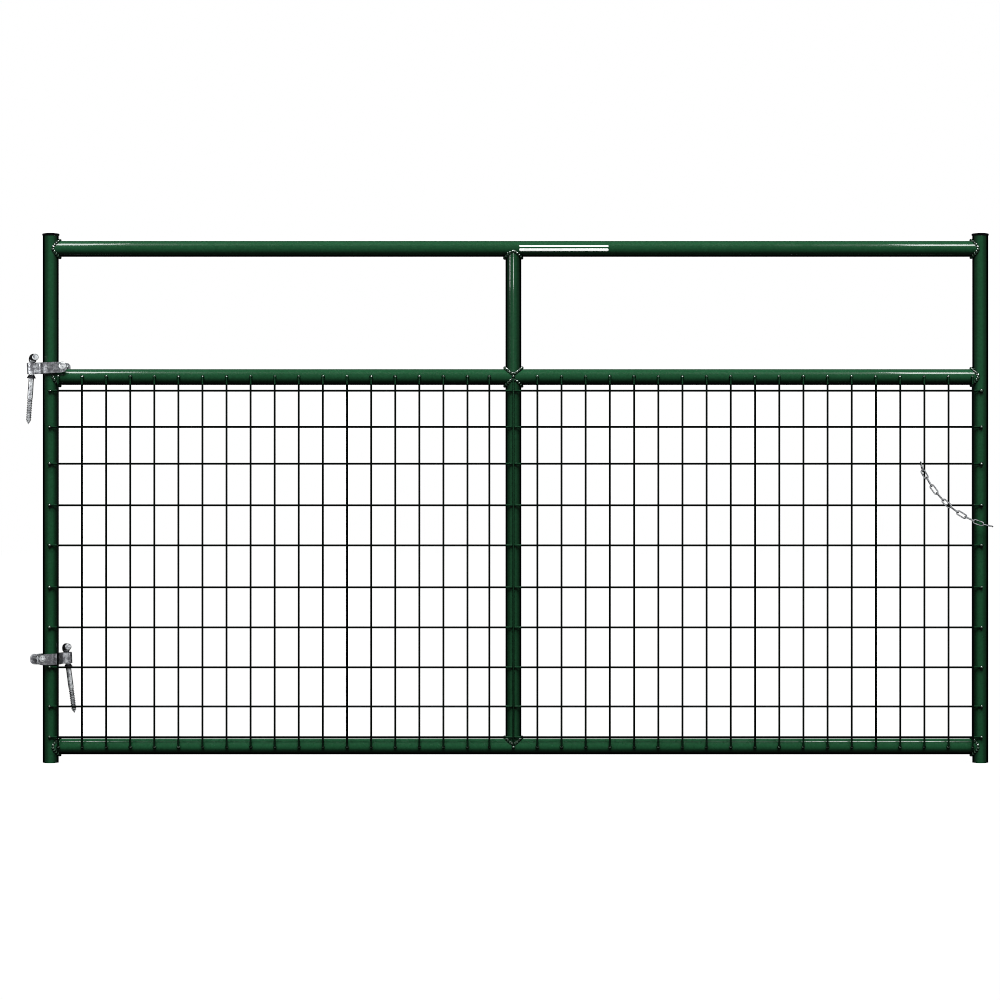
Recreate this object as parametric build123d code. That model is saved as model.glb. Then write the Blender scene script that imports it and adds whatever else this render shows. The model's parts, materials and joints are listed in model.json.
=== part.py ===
"""Livestock panel gate: a round-tube frame with a welded wire panel, strap-and-hook hinges and a latch chain.

Millimetres. The origin is on the hinge upright's axis at the ground, +X runs to the latch side,
+Z is up, and the wire panel is on the front, which faces -Y.
"""

from build123d import *

import os
from math import asin, atan2, cos, degrees, radians, sin, sqrt

# Tube frame
gate_height = 1270.0
gate_span = 2230.4
tube_radius = 19.05
tube_wall = 1.65
cope_gap = 0.1
top_rail_z = 1232.5
middle_rail_z = 925.1
bottom_rail_z = 38.8
stile_x = 1110.1
bead_width = 2.2

# Upright caps
cap_radius = 20.6
cap_flange = 6.0
cap_plug_length = 20.0

# Wire panel
wire_radius = 2.4
wire_gap = 0.02
horizontal_wire_z = (62.5, 135.8, 229.7, 325.2, 421.2, 521.5, 617.5, 716.6, 804.8, 891.4)
hinge_bay_first_x = 20.5
hinge_bay_spacing = 57.63
hinge_bay_wires = 18
stile_wire_spacing = 57.7
latch_bay_first_x = 1167.3
latch_bay_spacing = 57.86
latch_bay_wires = 19
tack_radius = 3.8
tack_offset = 0.7

# Plain decal on the top rail
decal_start_x = 1124.0
decal_length = 214.0
decal_thickness = 0.15
decal_stripes = ((-3.2, 3.2), (5.5, 2.0))

# Hinge strap: one bent flat bar, from one tail round the tube, round the eye and back. The eye is
# turned about the tube towards the side of the bolt's head
strap_thickness = 3.2
strap_height = 26.5
strap_loop_radius = 23.8
strap_tail = 43.0
eye_radius = 9.9
eye_distance = 44.9
eye_turn = 9.75
neck_radius = 12.5
bolt_from_axis = 33.0
bolt_above_middle = 3.0
bolt_radius = 4.76
upper_strap_z = 946.8
upper_strap_yaw = -3.3
upper_strap_tilt = 3.0
lower_strap_z = 248.6
lower_strap_yaw = 207.6
lower_strap_tilt = 1.0

# Screw hook, measured down from the knuckle
hook_pin_length = 38.0
hook_pin_radius = 7.94
knuckle_radius = 9.5
shank_radius = 6.35
guide_radius = 6.2
guide_end = 50.2
thread_start = 96.7
thread_end = 148.7
hook_tip = 160.7
thread_pitch = 4.2
thread_root = 4.9
thread_crest = 6.2
collar_start = 42.5
collar_height = 7.7
knuckle_above_eye = 27.5
upper_hook_lean = 3.8
upper_pin_yaw = -72.0
lower_hook_lean = -7.5
lower_pin_yaw = 287.0

# Latch chain
link_wire_radius = 1.65
link_pitch = 22.3
link_bend_radius = 4.6
link_gap = 0.15
link_count = 11
chain_wire_z = horizontal_wire_z[7]
chain_start_x = 2085.6
chain_front_y = -44.5
chain_hang_heading = -80.0
chain_first_heading = -65.0
chain_last_heading = -14.0

inner_radius = tube_radius - tube_wall
upright_top = gate_height - cap_flange
horizontal_wire_y = -(tube_radius + wire_gap + wire_radius)
vertical_wire_y = horizontal_wire_y - 2 * wire_radius - wire_gap
link_length = link_pitch + 2 * link_wire_radius + link_gap


# Frame tubes


def upright_rod(x, radius, bottom=0.0, top=upright_top):
    """A solid upright cylinder between two heights."""
    return Pos(x, 0, (bottom + top) / 2) * Cylinder(radius, top - bottom)


def rail_rod(z, radius, start=0.0, end=gate_span):
    """A solid level cylinder between two places along X."""
    return Pos((start + end) / 2, 0, z) * Rot(0, 90, 0) * Cylinder(radius, end - start)


def upright(x):
    return upright_rod(x, tube_radius) - upright_rod(x, inner_radius)


def rail(z):
    """A rail tube whose ends are coped to sit on the two uprights."""
    tube = rail_rod(z, tube_radius) - rail_rod(z, inner_radius)
    for x in (0.0, gate_span):
        tube -= upright_rod(x, tube_radius + cope_gap)
    return largest(tube)


def stile(low_rail_z, high_rail_z):
    """One piece of the centre stile, coped onto the rail under it and the rail over it."""
    tube = upright_rod(stile_x, tube_radius, low_rail_z, high_rail_z)
    tube -= upright_rod(stile_x, inner_radius, low_rail_z, high_rail_z)
    for z in (low_rail_z, high_rail_z):
        tube -= rail_rod(z, tube_radius + cope_gap)
    return largest(tube)


def largest(shape):
    return max(shape.solids(), key=lambda solid: solid.volume)


# Weld beads


def bead(x, z, side):
    """The fillet bead of a joint between two tubes at (x, z), on one side: +X, -X, +Z or -Z."""
    reach = tube_radius + bead_width
    blob = upright_rod(x, reach, z - reach, z + reach) & rail_rod(z, reach, x - reach, x + reach)
    blob -= upright_rod(x, tube_radius + cope_gap, z - 2 * reach, z + 2 * reach)
    blob -= rail_rod(z, tube_radius + cope_gap, x - 2 * reach, x + 2 * reach)
    shift = reach + cope_gap
    half = Pos(x + side[0] * shift, 0, z + side[1] * shift) * Box(
        2 * reach if side[0] else 4 * reach,
        4 * reach,
        2 * reach if side[1] else 4 * reach,
    )
    return blob & half


def side_beads(x, side):
    """The beads that join the three rails to one outer upright."""
    return [bead(x, z, side) for z in (bottom_rail_z, middle_rail_z, top_rail_z)]


def stile_beads():
    """The beads at the ends of the stile's two pieces."""
    return [
        bead(stile_x, bottom_rail_z, (0, 1)),
        bead(stile_x, middle_rail_z, (0, -1)),
        bead(stile_x, middle_rail_z, (0, 1)),
        bead(stile_x, top_rail_z, (0, -1)),
    ]


# Wire panel


def vertical_wire_places():
    """Where the vertical wires stand: in the hinge bay, and from the stile into the latch bay."""
    hinge_bay = [hinge_bay_first_x + hinge_bay_spacing * i for i in range(hinge_bay_wires)]
    hinge_bay.append(stile_x - stile_wire_spacing)
    latch_bay = [latch_bay_first_x + latch_bay_spacing * i for i in range(latch_bay_wires)]
    return hinge_bay, [stile_x] + latch_bay


def horizontal_wires():
    wires = []
    for z in horizontal_wire_z:
        wires.append(Pos(0, horizontal_wire_y, 0) * rail_rod(z, wire_radius))
    return wires


def vertical_wires(places):
    wires = []
    for x in places:
        wire = upright_rod(x, wire_radius, bottom_rail_z, middle_rail_z)
        wires.append(Pos(0, vertical_wire_y, 0) * wire)
    return wires


def upright_tacks():
    """The tack on each end of each horizontal wire, at the middle of the uprights."""
    tacks = []
    for x in (0.0, gate_span):
        for z in horizontal_wire_z:
            tack = Pos(x, horizontal_wire_y + tack_offset, z) * Rot(30, 0, 30) * Sphere(tack_radius)
            tack -= upright_rod(x, tube_radius + wire_gap, z - 10, z + 10)
            tack -= Pos(0, horizontal_wire_y, 0) * rail_rod(z, wire_radius + wire_gap)
            tacks.append(largest(tack))
    return tacks


def rail_tacks(places):
    """The tack on each end of each vertical wire, which bridges the gap to the rail behind."""
    middle_y = -(tube_radius + tack_radius - 0.4)
    tacks = []
    for x in places:
        for z in (bottom_rail_z, middle_rail_z):
            keep_off = bead_width if x == stile_x else 0.0
            tack = Pos(x, middle_y - keep_off, z) * Sphere(tack_radius)
            tack -= rail_rod(z, tube_radius + keep_off + wire_gap, x - 10, x + 10)
            wire = upright_rod(x, wire_radius + wire_gap, bottom_rail_z, middle_rail_z)
            tack -= Pos(0, vertical_wire_y, 0) * wire
            tacks.append(largest(tack))
    return tacks


# Caps and decal


def upright_cap(x):
    """A push-in cap: a domed flange on the tube's end and a hollow plug inside it."""
    plug_radius = inner_radius - 0.15
    plug_bottom = upright_top - cap_plug_length
    outline = Polyline(
        (0, gate_height),
        (cap_radius - 2.2, gate_height),
        (cap_radius, gate_height - 1.4),
        (cap_radius, upright_top + 2.0),
        (tube_radius + 0.2, upright_top + 0.05),
        (plug_radius, upright_top + 0.05),
        (plug_radius, plug_bottom + 2.0),
        (plug_radius - 1.0, plug_bottom),
        (plug_radius - 2.2, plug_bottom),
        (plug_radius - 2.2, upright_top + 1.5),
        (0, upright_top + 1.5),
        close=True,
    )
    return Pos(x, 0, 0) * revolve(Plane.XZ * make_face(outline), Axis.Z)


def decal():
    """Two plain stripes that follow the front of the top rail."""
    stripes = []
    middle_x = decal_start_x + decal_length / 2
    for above_middle, half_height in decal_stripes:
        skin = rail_rod(top_rail_z, tube_radius + 0.02 + decal_thickness)
        skin -= rail_rod(top_rail_z, tube_radius + 0.02)
        window = Pos(middle_x, -tube_radius, top_rail_z + above_middle) * Box(
            decal_length, 2 * tube_radius - 2, 2 * half_height
        )
        stripes.append(largest(skin & window))
    return stripes


# Hinge straps


def polar(centre, radius, angle):
    return (centre[0] + radius * cos(radians(angle)), centre[1] + radius * sin(radians(angle)))


def arc(centre, radius, start, end):
    points = [polar(centre, radius, start + (end - start) * share) for share in (0, 0.5, 1)]
    return ThreePointArc(*points)


def strap_edges(offset):
    """The bent bar's edge, offset from its middle line: tail, loop, neck, eye, neck, loop, tail."""
    loop = strap_loop_radius
    to_neck = loop + neck_radius
    along = -(eye_distance**2 + to_neck**2 - (eye_radius + neck_radius) ** 2) / (2 * eye_distance)
    across = sqrt(to_neck**2 - along**2)
    at_loop = degrees(atan2(across, along))
    at_eye = degrees(atan2(across, along + eye_distance))
    eye = polar((0, 0), eye_distance, 180 + eye_turn)
    neck = polar((0, 0), to_neck, eye_turn + at_loop)
    other_neck = polar((0, 0), to_neck, eye_turn - at_loop)
    turned_loop = eye_turn + at_loop
    turned_eye = eye_turn + at_eye
    edges = [
        Line((strap_tail, loop + offset), (0, loop + offset)),
        arc((0, 0), loop + offset, 90, turned_loop),
        arc(neck, neck_radius - offset, turned_loop - 180, turned_eye - 180),
        arc(eye, eye_radius + offset, turned_eye, 360 + 2 * eye_turn - turned_eye),
        arc(other_neck, neck_radius - offset, 180 + eye_turn - at_eye, 180 + eye_turn - at_loop),
        arc((0, 0), loop + offset, 360 + eye_turn - at_loop, 270),
        Line((0, -loop - offset), (strap_tail, -loop - offset)),
    ]
    return edges


def strap_bar():
    """The strap about its own middle, tails towards +X and eye towards -X."""
    half = strap_thickness / 2
    outer = strap_loop_radius + half
    inner = strap_loop_radius - half
    edges = strap_edges(half) + strap_edges(-half)
    edges += [Line((strap_tail, side * outer), (strap_tail, side * inner)) for side in (1, -1)]
    bar = extrude(make_face(edges), strap_height / 2, both=True)
    end = strap_height / 2
    back = -eye_distance - 2 * eye_radius
    side_view = Polyline(
        (back, -end),
        (8, -end),
        (strap_tail - 6, -end + 2.6),
        (strap_tail, -end + 8),
        (strap_tail, end - 8),
        (strap_tail - 6, end - 2.6),
        (8, end),
        (back, end),
        close=True,
    )
    bar &= extrude(Plane.XZ * make_face(side_view), 40, both=True)
    hole = Pos(bolt_from_axis, 0, bolt_above_middle) * Rot(90, 0, 0)
    bar -= hole * Cylinder(bolt_radius + 0.3, 80)
    square = 2 * bolt_radius + 0.4
    bar -= Pos(bolt_from_axis, -strap_loop_radius, bolt_above_middle) * Box(square, 8, square)
    return largest(bar)


def carriage_bolt():
    """Domed head and square neck on the strap's front tail, plain shank to the back."""
    head_radius = 9.5
    dome_height = 4.6
    face = -(strap_loop_radius + strap_thickness / 2) - 0.05
    end = 38.0
    side = 2 * bolt_radius
    ball = (head_radius**2 + dome_height**2) / (2 * dome_height)
    place = Pos(bolt_from_axis, 0, bolt_above_middle)
    head = Pos(0, face - dome_height + ball, 0) * Sphere(ball)
    head &= Pos(0, face - dome_height, 0) * Box(40, 2 * dome_height, 40)
    neck = Pos(0, face + 1.55, 0) * Box(side, 3.1, side)
    shank = Pos(0, (face + end) / 2, 0) * Rot(90, 0, 0) * Cylinder(bolt_radius, end - face)
    tip = Pos(0, end - 0.8, 0) * Rot(-90, 0, 0) * Cone(bolt_radius, bolt_radius - 1.2, 1.6)
    shank = shank - Pos(0, end - 0.8, 0) * Box(20, 1.6, 20) + tip
    return largest(place * (head + neck + shank))


def hex_nut():
    """A nut with a chamfered outer face, against the back tail."""
    across_flats = 14.3
    thickness = 8.2
    face = strap_loop_radius + strap_thickness / 2 + 0.05
    body = extrude(RegularPolygon(across_flats / 2, 6, major_radius=False), thickness)
    body &= Pos(0, 0, thickness / 2) * Cone(across_flats, across_flats / 2 + 0.2, thickness)
    body -= Cylinder(bolt_radius + 0.03, 40)
    return Pos(bolt_from_axis, face, bolt_above_middle) * Rot(-90, 0, 0) * largest(body)


def strap_place(z, yaw, tilt):
    """Where a strap hangs: turned about the upright, then leaning with its +X side up."""
    return Pos(0, 0, z) * Rot(0, -tilt, 0) * Rot(0, 0, yaw)


# Screw hooks


def hook_body():
    """Forged screw hook about its knuckle: pin along +X, shank straight down."""
    outline = [(0, -2), (knuckle_radius - 0.6, -2), (8.6, -6), (guide_radius, -13)]
    outline += [(guide_radius, -guide_end), (shank_radius, -guide_end - 0.5)]
    outline += [(shank_radius, -thread_start)]
    turns = int((thread_end - thread_start) / thread_pitch)
    for turn in range(turns):
        top = -thread_start - turn * thread_pitch
        outline += [(thread_root, top - 0.9), (thread_root, top - 2.1)]
        outline += [(thread_crest, top - 3.3), (thread_crest, top - thread_pitch)]
    outline += [(thread_root, -thread_end), (0, -hook_tip)]
    shank = revolve(Plane.XZ * make_face(Polyline(*outline, close=True)), Axis.Z)
    pin = Pos(hook_pin_length / 2, 0, 0) * Rot(0, 90, 0) * Cylinder(hook_pin_radius, hook_pin_length)
    pin = chamfer(pin.edges().group_by(Axis.X)[-1], 1.5)
    return largest(shank + pin + Sphere(knuckle_radius))


def collar():
    """The flared push-on collar that keeps the hook in the eye."""
    bore = guide_radius + 0.05
    top = -collar_start
    outline = Polyline(
        (bore, top),
        (7.6, top),
        (10.4, top - collar_height + 1.5),
        (10.4, top - collar_height),
        (bore, top - collar_height),
        close=True,
    )
    return revolve(Plane.XZ * make_face(outline), Axis.Z)


def hook_place(strap, lean, pin_yaw):
    """Where a hook hangs in a strap's eye: leaning about Y, its pin turned to pin_yaw."""
    eye = (strap * Rot(0, 0, eye_turn) * Pos(-eye_distance, 0, 0)).position
    return Pos(*eye) * Rot(0, lean, 0) * Pos(0, 0, knuckle_above_eye) * Rot(0, 0, pin_yaw)


# Latch chain


def link_body():
    """One oval link in its own XY plane, its near bend's wire centre at the origin, along +X."""
    middle = link_length / 2
    end = link_length - link_bend_radius
    bend = link_bend_radius
    path = Wire(
        [
            Line((middle, bend), (end, bend)),
            ThreePointArc((end, bend), (link_length, 0), (end, -bend)),
            Line((end, -bend), (bend, -bend)),
            ThreePointArc((bend, -bend), (0, 0), (bend, bend)),
            Line((bend, bend), (middle, bend)),
        ]
    )
    section = Plane(origin=(middle, bend, 0), z_dir=(1, 0, 0))
    return sweep(section * Circle(link_wire_radius), path=path)


def chain_headings():
    """Each link's direction in the XZ plane, in degrees: steep at first, level at the latch."""
    turn = (chain_last_heading - chain_first_heading) / (link_count - 2)
    return [chain_hang_heading] + [chain_first_heading + turn * i for i in range(link_count - 1)]


def direction(heading, lean):
    """A unit vector with a heading in the XZ plane, leaning forward out of it, in degrees."""
    level = cos(radians(lean))
    forward = -sin(radians(lean))
    return Vector(level * cos(radians(heading)), forward, level * sin(radians(heading)))


def chain_layout():
    """Each link as (pivot, near bend, direction, normal of its plane, hinge axis).

    Odd links stand edge-on to the panel and swing forwards; even links lie flat in front of it
    and swing up and down. The first two lean forward, to bring the chain in front of the wires.
    """
    spacing = 2 * link_wire_radius + link_gap
    from_wire = wire_radius + link_wire_radius + link_gap
    hang = 2 * link_pitch + spacing - from_wire
    lean = degrees(asin((horizontal_wire_y - chain_front_y) / hang))
    headings = chain_headings()
    leans = [lean, lean] + [0.0] * (link_count - 2)
    front = Vector(0, -1, 0)
    links = []
    pivot = Vector(chain_start_x, horizontal_wire_y, chain_wire_z)
    for number in range(link_count):
        along = direction(headings[number], leans[number])
        before = max(number - 1, 0)
        edge_on = number % 2 == 0
        if number == 0:
            near = pivot - along * from_wire
            axis = Vector(-1, 0, 0)
        elif edge_on:
            near = pivot - direction(headings[before], leans[number]) * spacing
            axis = direction(headings[before], 0.0).cross(front)
        else:
            near = pivot - direction(headings[number], leans[before]) * spacing
            axis = Vector(0, 1, 0)
        across = along.cross(front).normalized()
        normal = across if edge_on else across.cross(along)
        links.append((pivot, near, along, normal, axis))
        pivot = near + along * link_length
    return links


def chain_link(layout):
    pivot, near, along, normal, axis = layout
    return Plane(origin=near, x_dir=along, z_dir=normal).location * link_body()


def write(name, *solids):
    """Write one node's solids to parts/NAME.step."""
    shapes = [solid for item in solids for solid in item.solids()]
    shape = shapes[0] if len(shapes) == 1 else Compound(children=shapes)
    export_step(shape, os.path.join("parts", name + ".step"))


def main():
    os.makedirs("parts", exist_ok=True)
    write("hinge_upright", upright(0.0))
    write("latch_upright", upright(gate_span))
    write("top_rail", rail(top_rail_z))
    write("middle_rail", rail(middle_rail_z))
    write("bottom_rail", rail(bottom_rail_z))
    write("centre_stile_upper", stile(middle_rail_z, top_rail_z))
    write("centre_stile_lower", stile(bottom_rail_z, middle_rail_z))
    write("hinge_upright_cap", upright_cap(0.0))
    write("latch_upright_cap", upright_cap(gate_span))
    write("hinge_side_welds", *side_beads(0.0, (1, 0)))
    write("latch_side_welds", *side_beads(gate_span, (-1, 0)))
    write("centre_stile_welds", *stile_beads())

    hinge_bay, latch_bay = vertical_wire_places()
    write("horizontal_wires", *horizontal_wires())
    write("vertical_wires_hinge_bay", *vertical_wires(hinge_bay))
    write("vertical_wires_latch_bay", *vertical_wires(latch_bay))
    write("horizontal_wire_tacks", *upright_tacks())
    write("vertical_wire_tacks", *rail_tacks(hinge_bay + latch_bay))
    write("top_rail_decal", *decal())

    hinges = {
        "upper": (upper_strap_z, upper_strap_yaw, upper_strap_tilt, upper_hook_lean, upper_pin_yaw),
        "lower": (lower_strap_z, lower_strap_yaw, lower_strap_tilt, lower_hook_lean, lower_pin_yaw),
    }
    for name, (z, yaw, tilt, lean, pin_yaw) in hinges.items():
        strap = strap_place(z, yaw, tilt)
        hook = hook_place(strap, lean, pin_yaw)
        write(name + "_hinge_strap", strap * strap_bar())
        write(name + "_hinge_bolt", strap * carriage_bolt())
        write(name + "_hinge_nut", strap * hex_nut())
        write(name + "_screw_hook", hook * hook_body())
        write(name + "_hook_collar", hook * collar())

    for number, layout in enumerate(chain_layout(), start=1):
        write("chain_link_%02d" % number, chain_link(layout))


if __name__ == "__main__":
    main()
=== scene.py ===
"""Looks of the livestock panel gate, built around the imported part.

Metres, in the part's own frame: the hinge upright stands on the origin, +X runs to the latch
side, +Z is up, and the wire panel is on the front, which faces -Y. Places and outer sizes come
from the CAD nodes. The constants below are stock thicknesses, thread shapes, the camera, and what
a weld or a finish adds.
"""

import json
import math
import random

import bmesh
import bpy
import numpy as np
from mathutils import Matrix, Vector

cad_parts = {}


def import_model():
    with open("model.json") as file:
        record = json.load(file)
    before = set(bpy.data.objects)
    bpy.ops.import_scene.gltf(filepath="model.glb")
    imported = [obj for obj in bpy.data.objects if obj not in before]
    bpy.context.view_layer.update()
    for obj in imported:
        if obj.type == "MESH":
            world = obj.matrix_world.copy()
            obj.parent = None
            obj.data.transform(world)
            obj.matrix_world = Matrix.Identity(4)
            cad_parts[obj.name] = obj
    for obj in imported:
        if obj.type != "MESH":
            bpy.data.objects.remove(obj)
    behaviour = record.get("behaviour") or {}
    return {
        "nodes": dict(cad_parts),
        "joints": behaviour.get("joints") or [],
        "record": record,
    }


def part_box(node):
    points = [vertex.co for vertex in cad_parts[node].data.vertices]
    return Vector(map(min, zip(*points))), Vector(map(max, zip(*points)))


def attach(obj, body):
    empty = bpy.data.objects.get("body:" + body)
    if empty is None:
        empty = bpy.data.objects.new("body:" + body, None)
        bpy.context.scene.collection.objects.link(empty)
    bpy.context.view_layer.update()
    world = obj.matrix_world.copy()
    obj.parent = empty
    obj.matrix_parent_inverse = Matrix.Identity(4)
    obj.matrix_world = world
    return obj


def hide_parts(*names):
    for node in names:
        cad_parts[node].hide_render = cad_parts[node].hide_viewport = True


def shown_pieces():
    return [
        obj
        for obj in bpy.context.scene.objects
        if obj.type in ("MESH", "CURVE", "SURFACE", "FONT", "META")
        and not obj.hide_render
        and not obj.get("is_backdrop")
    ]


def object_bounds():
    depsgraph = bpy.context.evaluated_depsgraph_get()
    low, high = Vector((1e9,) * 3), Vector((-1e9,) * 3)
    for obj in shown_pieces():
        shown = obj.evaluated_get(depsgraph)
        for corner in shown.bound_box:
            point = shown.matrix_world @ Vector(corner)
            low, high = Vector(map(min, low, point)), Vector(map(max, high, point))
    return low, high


MM = 0.001
UP = np.array([0.0, 0.0, 1.0])
RIGHT = np.array([1.0, 0.0, 0.0])
FRONT = np.array([0.0, -1.0, 0.0])

# Tubes
TUBE_SEGMENTS = 128
TUBE_WALL = 1.65 * MM
COPE_GAP = 0.1 * MM
RIM_ROUNDING = 0.4 * MM
DECAL_THICKNESS = 0.15 * MM
DECAL_RADIUS = 19.22 * MM

# Weld beads: at the corner of two tubes, and where their surfaces run into each other in front.
# A bead's saddle curve is longer than the tube's circle by BEAD_SADDLE_LENGTH.
BEAD_CORNER_RADIUS = 4.0 * MM
BEAD_FLAT_WIDTH = 3.5 * MM
BEAD_FLAT_HEIGHT = 2.0 * MM
BEAD_CORNER_LIFT = 0.7 * MM
BEAD_RIPPLE = 6.8 * MM
BEAD_RIPPLE_DEPTH = 0.85
BEAD_BOW = 0.35
BEAD_TIP_ROUNDING = 0.38
BEAD_STEPS_PER_RIPPLE = 9
BEAD_SADDLE_LENGTH = 1.22
BEAD_CREST_LEVEL = 0.6
BEAD_WIDTH_RIPPLE = 0.25

# Wire panel
WIRE_SEGMENTS = 20
TACK_RADII = (4.3 * MM, 4.6 * MM, 4.0 * MM)
CROSSING_RADII = (2.6 * MM, 1.3 * MM, 2.6 * MM)

# Hinges
STRAP_THICKNESS = 3.2 * MM
STRAP_EDGE = 0.9 * MM
NECK_RADIUS = 12.5 * MM
STRAP_TAPER_START = 8.0 * MM
BOLT_RADIUS = 4.76 * MM
BOLT_PITCH = 1.6 * MM
KNUCKLE_RADIUS = 9.5 * MM
PIN_RADIUS = 7.94 * MM
SHANK_RADIUS = 6.35 * MM
GUIDE_RADIUS = 6.2 * MM
LAG_PITCH = 4.2 * MM
LAG_ROOT = 4.7 * MM
LAG_CREST = 6.3 * MM
TURN_DARK_REACH = 26.0 * MM

# Chain: the butt weld's swelling on one side of a link
LINK_SWELLING = 0.16
LINK_SWELLING_REACH = 1.6 * MM

SUN_ANGLE = 0.8

# Camera: a long lens straight in front, about level with the gate's middle
CAMERA_DISTANCE = 7.8
CAMERA_X = 1.078
CAMERA_Z = 0.630
VIEW_WIDTH = 2.4
SENSOR_WIDTH = 36.0

UPRIGHTS = ("hinge_upright", "centre_stile_lower", "latch_upright")
RAILS = ("bottom_rail", "middle_rail", "top_rail")

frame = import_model()
cad_low, cad_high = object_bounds()
scene = bpy.context.scene
record = frame["record"]
joints = {joint["name"]: joint for joint in frame["joints"]}
body_of = {node: body for body, nodes in record["behaviour"]["bodies"].items() for node in nodes}


# Reading the frame


def node_points(node):
    """A CAD node's vertices, as an array."""
    vertices = frame["nodes"][node].data.vertices
    points = np.zeros(len(vertices) * 3)
    vertices.foreach_get("co", points)
    return points.reshape(-1, 3)


def extents(points, place=None):
    """Lowest and highest corner of some points, in the frame of a 4x4 place if one is given."""
    if place is not None:
        points = moved(points, np.linalg.inv(place))
    return points.min(0), points.max(0)


def middle_of(node, axis):
    """The middle of a node's box along one axis number."""
    low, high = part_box(node)
    return (low[axis] + high[axis]) / 2


def islands(node):
    """(lowest corner, highest corner) of each separate solid of a CAD node."""
    mesh = bmesh.new()
    mesh.from_mesh(frame["nodes"][node].data)
    bmesh.ops.remove_doubles(mesh, verts=mesh.verts, dist=0.001 * MM)
    seen = set()
    boxes = []
    for start in mesh.verts:
        if start in seen:
            continue
        seen.add(start)
        waiting = [start]
        corners = []
        while waiting:
            vertex = waiting.pop()
            corners.append(tuple(vertex.co))
            for edge in vertex.link_edges:
                other = edge.other_vert(vertex)
                if other not in seen:
                    seen.add(other)
                    waiting.append(other)
        boxes.append(extents(np.array(corners)))
    mesh.free()
    return sorted(boxes, key=lambda box: (round(box[0][0], 5), round(box[0][2], 5)))


def tube_axis(node, along):
    """(start, end, radius) of a round node that runs along axis number `along`."""
    low, high = extents(node_points(node))
    middle = (low + high) / 2
    start, end = middle.copy(), middle.copy()
    start[along], end[along] = low[along], high[along]
    return start, end, (high[1] - low[1]) / 2


def place_matrix(origin, x_axis, z_axis):
    """A 4x4 place from an origin, an X direction and a Z direction."""
    z = np.array(z_axis, float) / np.linalg.norm(z_axis)
    y = np.cross(z, x_axis)
    y /= np.linalg.norm(y)
    matrix = np.eye(4)
    matrix[:3, 0], matrix[:3, 1], matrix[:3, 2] = np.cross(y, z), y, z
    matrix[:3, 3] = origin
    return matrix


def moved(points, place):
    points = np.asarray(points, float)
    return points @ place[:3, :3].T + place[:3, 3]


def unit(vector):
    return vector / np.linalg.norm(vector)


# Building meshes


class Shape:
    """Vertices and faces, gathered from closed skins."""

    def __init__(self):
        self.vertices = []
        self.faces = []

    def skin(self, rings, closed=False, place=None):
        """Join rings of points into a skin. It closes on itself, or has a cap on each end."""
        rings = np.asarray(rings, float)
        rows, columns = rings.shape[:2]
        points = rings.reshape(-1, 3)
        if place is not None:
            points = moved(points, place)
        base = len(self.vertices)
        self.vertices += points.tolist()
        for row in range(rows if closed else rows - 1):
            here = base + row * columns
            there = base + (row + 1) % rows * columns
            for column in range(columns):
                after = (column + 1) % columns
                self.faces.append((here + column, here + after, there + after, there + column))
        if not closed:
            self.faces.append(tuple(range(base + columns - 1, base - 1, -1)))
            last = base + (rows - 1) * columns
            self.faces.append(tuple(range(last, last + columns)))
        return self

    def piece(self, name, node, material, sharp_angle=42.0):
        """Make the shape a piece that stands for a CAD node and rides on its body."""
        mesh = bpy.data.meshes.new(name)
        work = bmesh.new()
        vertices = [work.verts.new(point) for point in self.vertices]
        for face in self.faces:
            work.faces.new([vertices[index] for index in face])
        bmesh.ops.remove_doubles(work, verts=work.verts, dist=0.0005 * MM)
        bmesh.ops.recalc_face_normals(work, faces=work.faces)
        work.to_mesh(mesh)
        work.free()
        mesh.shade_smooth()
        mesh.set_sharp_from_angle(angle=math.radians(sharp_angle))
        mesh.materials.append(material)
        made = bpy.data.objects.new(name, mesh)
        scene.collection.objects.link(made)
        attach(made, body_of[node])
        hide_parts(node)


def circle(count, phase=0.0):
    return (np.arange(count) + phase) * 2 * math.pi / count


def rounded(points, radius, steps=4, closed=True):
    """A polyline of (x, y) points with its corners rounded off."""
    points = [np.array(point, float) for point in points]
    last = len(points) - 1
    result = []
    for index, corner in enumerate(points):
        if not closed and index in (0, last):
            result.append(corner)
            continue
        before = points[index - 1] - corner
        after = points[index + 1 if index < last else 0] - corner
        reach_before = min(radius, np.linalg.norm(before) * 0.45)
        reach_after = min(radius, np.linalg.norm(after) * 0.45)
        start = corner + unit(before) * reach_before
        end = corner + unit(after) * reach_after
        for step in range(steps + 1):
            share = step / steps
            result.append(start * (1 - share) ** 2 + corner * 2 * share * (1 - share) + end * share**2)
    return result


def level_ring(radius, height, angles):
    """A level ring round Z, of one radius or of one for each angle."""
    return np.stack([radius * np.cos(angles), radius * np.sin(angles), height + 0 * angles], 1)


def lathe(outline, segments):
    """Rings of an outline of (radius, height) points, turned round Z."""
    return [level_ring(radius, height, circle(segments)) for radius, height in outline]


def threaded(heights, radius_at, segments):
    """Rings round Z at some heights, whose radius is a function of height and turn (0 to 1)."""
    angles = circle(segments)
    turns = angles / (2 * math.pi)
    rings = []
    for z in heights:
        radius = np.array([radius_at(z, turn) for turn in turns])
        rings.append(level_ring(radius, z, angles))
    return rings


def smooth_step(value, low, high):
    share = np.clip((value - low) / (high - low), 0.0, 1.0)
    return share * share * (3 - 2 * share)


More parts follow.
